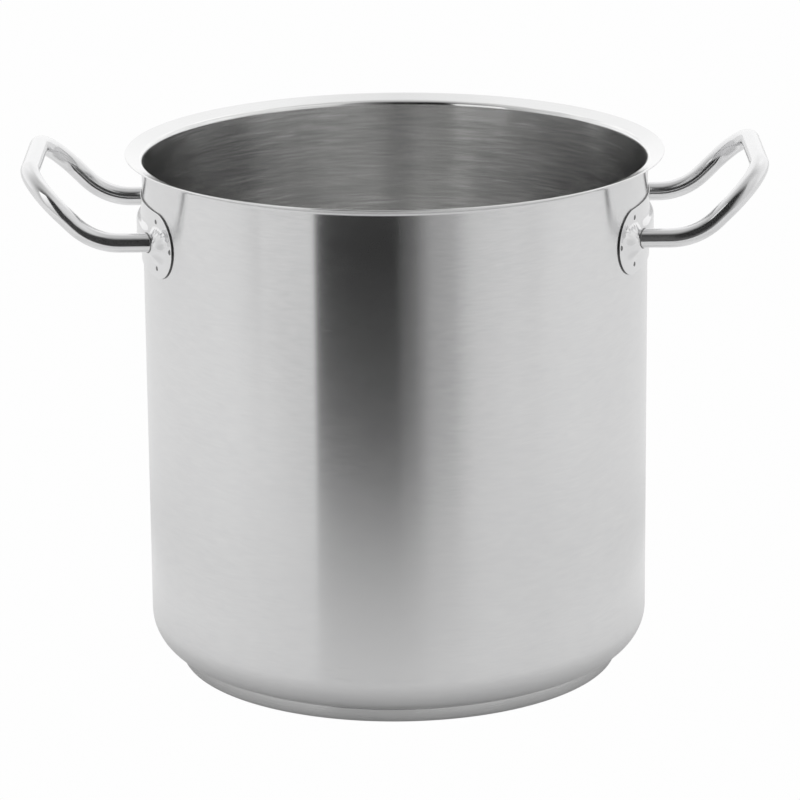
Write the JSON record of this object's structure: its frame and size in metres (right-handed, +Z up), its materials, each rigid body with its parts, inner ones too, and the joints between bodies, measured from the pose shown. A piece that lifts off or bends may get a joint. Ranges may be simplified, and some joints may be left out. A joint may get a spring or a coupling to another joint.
{
  "type": "stock pot",
  "caption": "Tall open steel stock pot with a flared rim, sandwich base and welded tube handles, for boiling stocks and soups.",
  "frame": {"origin": "centre of the base's underside, on the pot's axis", "axes": "+Z up along the pot's axis, X through the two handles, right handle at +X, -Y towards the viewer"},
  "size_m": [0.4112, 0.2998, 0.2954],
  "materials": {
    "brushed_body": "stainless steel, brushed round the wall, inside and out",
    "brushed_base": "stainless steel, finely turned",
    "core_aluminium": "plain, sealed inside the base",
    "polished_tube": "mirror-polished stainless steel",
    "polished_plate": "polished stainless steel",
    "weld_steel": "dull weld metal"
  },
  "bodies": {
    "root": {"pot_body": "brushed_body", "base_cap": "brushed_base", "base_core": "core_aluminium", "left_handle_tube": "polished_tube", "right_handle_tube": "polished_tube", "left_handle_plate": "polished_plate", "right_handle_plate": "polished_plate", "left_tube_welds": "weld_steel", "right_tube_welds": "weld_steel", "left_spot_welds": "weld_steel", "right_spot_welds": "weld_steel"}
  },
  "joints": []
}
